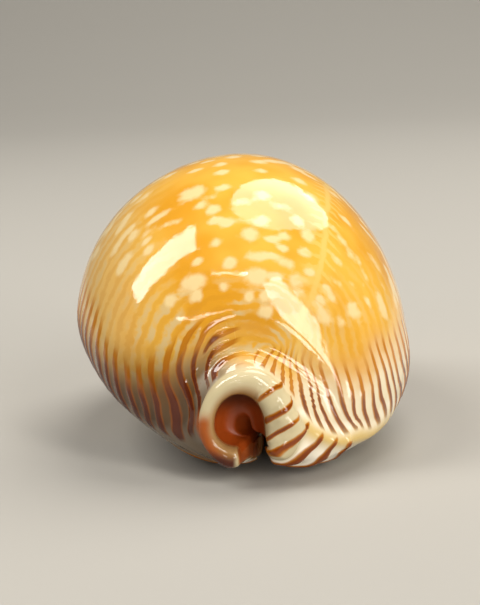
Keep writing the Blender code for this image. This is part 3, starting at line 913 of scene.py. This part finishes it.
def shadeAndSideRibLayers(tree, at):
    # painted shade: the left flank is multiplied darker low down towards the spire end
    dark = addNode(tree, "MapRange", {**steps["shadeHeight"], 0: at["height"]})
    dark = addNode(tree, "Math", {**times, 0: dark, 1: at["left"]})
    rear = addNode(tree, "MapRange", {**steps["shadeRear"], 0: at["along"]})
    dark = addNode(tree, "Math", {**times, 0: dark, 1: rear})
    shade = {"blend_type": "MULTIPLY", 0: dark}

    # side ribs are wide and dark low down, thin and orange where they end
    ridge = addNode(tree, "Math", {**timesAdd, 0: at["slow"], 1: sway["rib"], 2: at["count"]})
    ridge = addNode(tree, "Math", {**times, 0: ridge, 1: wholeTurn})
    ridge = addNode(tree, "Math", {**cosine, 0: ridge})
    narrow = addNode(tree, "MapRange", {**steps["ribNarrow"], 0: at["run"]})
    narrow = addNode(tree, "Math", {**timesAdd, 0: at["left"], 1: sway["ribWider"], 2: narrow})
    ridge = addNode(tree, "Math", {"operation": "SUBTRACT", 0: ridge, 1: narrow})
    core = addNode(tree, "MapRange", {**steps["ribCore"], 0: ridge})
    edge = addNode(tree, "MapRange", {**steps["ribEdge"], 0: ridge})
    zone = addNode(tree, "MapRange", {**steps["ribEnd"], 0: at["share"]})
    share = addNode(tree, "Math", {**times, 0: edge, 1: zone})
    low = addNode(tree, "MapRange", {**steps["rib"], 0: at["goldRun"]})
    high = addNode(tree, "MapRange", {**steps["ribHigh"], 0: at["goldRun"]})
    tone = addNode(tree, "Mix", {**colour, 0: low, 6: glaze["ribLow"], 7: glaze["rib"]}, 2)
    tone = addNode(tree, "Mix", {**colour, 0: high, 6: tone, 7: glaze["ribHigh"]}, 2)
    tone = addNode(tree, "Mix", {**colour, 0: core, 6: glaze["ribEdge"], 7: tone}, 2)
    # painted shade on the ribs of the lower left flank
    tone = addNode(tree, "Mix", {**colour, **shade, 6: tone, 7: glaze["flankRibShade"]}, 2)
    return [{**shade, 7: glaze["flank"]}, {0: share, 7: tone}]


def lipLayers(tree, at):
    # shoulder and collar, then the lip ribs on them
    ridge = addNode(tree, "Math", {**timesAdd, 0: at["slow"], 1: sway["lipRib"], 2: at["lipCount"]})
    ridge = addNode(tree, "Math", {**times, 0: ridge, 1: wholeTurn})
    ridge = addNode(tree, "Math", {**cosine, 0: ridge})
    ridge = addNode(tree, "Math", {**timesAdd, 0: at["lipShare"], 1: sway["lipWider"], 2: ridge})
    edge = addNode(tree, "MapRange", {**steps["lipEdge"], 0: ridge})
    zone = addNode(tree, "MapRange", {**steps["lipEnd"], 0: at["lipShare"]})
    share = addNode(tree, "Math", {**times, 0: edge, 1: zone})
    core = addNode(tree, "MapRange", {**steps["lipCore"], 0: ridge})
    tone = addNode(tree, "Mix", {**colour, 0: core, 6: glaze["ribEdge"], 7: glaze["lipRib"]}, 2)
    return [{0: at["callus"], 7: glaze["callus"]}, {0: at["hood"], 7: glaze["hood"]}, {0: share, 7: tone}]


def stainLayers(tree, at):
    share = addNode(tree, "Math", {**timesAdd, 0: at["slow"], 1: sway["stain"], 2: at["stain"]})
    share = addNode(tree, "MapRange", {**steps["stain"], 0: share})
    low = addNode(tree, "MapRange", {**steps["stainLow"], 0: at["height"]})
    tone = addNode(tree, "Mix", {**colour, 0: low, 6: glaze["stain"], 7: glaze["stainLow"]}, 2)
    return [{0: share, 7: tone}]


def canalLayers(tree, at):
    rim = addNode(tree, "MapRange", {**steps["canalRim"], 0: at["canal"]})
    # painted shade: the canal is darker towards its roof
    high = addNode(tree, "MapRange", {**steps["canalRoofShade"], 0: at["height"]})
    tone = addNode(tree, "Mix", {**colour, 0: high, 6: glaze["canal"], 7: glaze["canalRoofShade"]}, 2)
    return [{0: rim, 7: glaze["canalRim"]}, {0: at["wall"], 7: tone}]


def shellMaterial():
    material = bpy.data.materials.new("aragonite, mantle glazed")
    material.use_nodes = True
    tree = material.node_tree
    tree.nodes.clear()
    at = readFields(tree)
    ground = groundColour(tree, at)
    makers = (streakLayers, spotLayers, lineLayers, shadeAndSideRibLayers, lipLayers, stainLayers, canalLayers)
    for layers in makers:
        for settings in layers(tree, at):
            ground = addNode(tree, "Mix", {**colour, **settings, 6: ground}, 2)

    # the glaze is faintly uneven, and duller in the canal
    rough = addNode(tree, "MapRange", {**steps["glaze"], 0: at["glaze"]})
    rough = addNode(tree, "Mix", {0: at["wall"], 2: rough, 3: glaze["canalRoughness"]})
    uneven = addNode(tree, "Math", {**timesAdd, 0: at["glaze"], 1: sway["glaze"], 2: at["slow"]})
    bump = addNode(tree, "Bump", {**glaze["bump"], "Height": uneven})
    surface = {"Base Color": ground, "Roughness": rough, "Normal": bump, "IOR": glaze["ior"]}
    shader = addNode(tree, "BsdfPrincipled", surface)
    output = tree.nodes.new("ShaderNodeOutputMaterial")
    tree.links.new(shader, output.inputs["Surface"])
    return material


mesh.materials.append(shellMaterial())
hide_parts("shell")
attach(body, "root")
print("shell: finished")

# Studio: a pale paper sweep and soft boxes, with a few narrow ones for the small glints
studio = {
    "floor": "#A09D97",
    "floorRoughness": 0.9,
    "reach": 1.6,  # m, as all its sizes are
    "bendStart": 0.35,
    "bend": 0.35,
    "bendSteps": 12,
    "wall": 0.9,
    "aim": (0.0, -10 * mm, 15 * mm),
    # azimuth and elevation in degrees, distance, width and height, radiance, outline, lean in degrees
    "lamps": {
        "top box": (138, 60, 0.5, (0.35, 0.52), 3.5, "ELLIPSE", 0),
        "left box": (-91, 50, 0.5, (0.15, 0.34), 9.8, "RECTANGLE", 0),
        "right strip": (37, 22, 0.5, (0.12, 0.50), 8.2, "RECTANGLE", 12),
        "right foot": (22, 7, 0.5, (0.09, 0.09), 9.0, "RECTANGLE", 20),
        "right fill": (88, 22, 0.6, (0.90, 0.50), 0.55, "RECTANGLE", 0),
        "front fill": (-6, 9, 0.7, (0.10, 0.06), 10.0, "RECTANGLE", 0),
        "high strip": (-12, 58, 0.5, (0.18, 0.012), 16.0, "RECTANGLE", 0),
        "low strip": (-22, 29, 0.5, (0.26, 0.010), 14.0, "RECTANGLE", 0),
    },
    "unseen": ("right fill",),  # kept out of reflections
    "watts": 4,  # for each square metre, at a radiance of 1
    "warmth": "#FFFBF4",
    "sky": ("#FFFFFF", 0.12),  # colour and strength
}


def buildSweep():
    profile = [(-studio["reach"], 0.0), (studio["bendStart"], 0.0)]
    for turn in np.radians(np.linspace(0, 90, studio["bendSteps"] + 1)[1:]):
        depth = studio["bendStart"] + studio["bend"] * math.sin(turn)
        profile.append((depth, studio["bend"] * (1 - math.cos(turn))))
    profile.append((studio["bendStart"] + studio["bend"], studio["wall"]))
    verts = [(side * studio["reach"], depth, lift) for depth, lift in profile for side in (-1, 1)]
    quads = [(2 * i, 2 * i + 1, 2 * i + 3, 2 * i + 2) for i in range(len(profile) - 1)]
    sweepMesh = bpy.data.meshes.new("paper sweep")
    sweepMesh.from_pydata(verts, [], quads)
    sweepMesh.shade_smooth()
    sweep = bpy.data.objects.new("paper sweep", sweepMesh)
    bpy.context.scene.collection.objects.link(sweep)
    material = bpy.data.materials.new("matte paper")
    material.use_nodes = True
    shader = material.node_tree.nodes["Principled BSDF"]
    shader.inputs["Base Color"].default_value = fromHex(studio["floor"])
    shader.inputs["Roughness"].default_value = studio["floorRoughness"]
    sweepMesh.materials.append(material)


def addLamp(name, azimuth, elevation, away, size, radiance, outline, lean):
    data = bpy.data.lights.new(name, "AREA")
    data.shape = outline
    data.size, data.size_y = size
    data.energy = radiance * studio["watts"] * size[0] * size[1]
    data.color = fromHex(studio["warmth"])[:3]
    swing, lift = math.radians(azimuth), math.radians(elevation)
    out = Vector((math.sin(swing) * math.cos(lift), -math.cos(swing) * math.cos(lift), math.sin(lift)))
    leaning = Quaternion((0, 0, 1), math.radians(lean))
    lamp = bpy.data.objects.new(name, data)
    lamp.location = Vector(studio["aim"]) + out * away
    lamp.rotation_euler = (out.to_track_quat("Z", "Y") @ leaning).to_euler()
    lamp.visible_glossy = name not in studio["unseen"]
    bpy.context.scene.collection.objects.link(lamp)


def buildSky():
    world = bpy.data.worlds.new("studio")
    world.use_nodes = True
    background = world.node_tree.nodes["Background"]
    background.inputs["Color"].default_value = fromHex(studio["sky"][0])
    background.inputs["Strength"].default_value = studio["sky"][1]
    bpy.context.scene.world = world
    bpy.context.scene.view_settings.view_transform = "Standard"


buildSweep()
for name, settings in studio["lamps"].items():
    addLamp(name, *settings)
buildSky()
print("studio: finished")
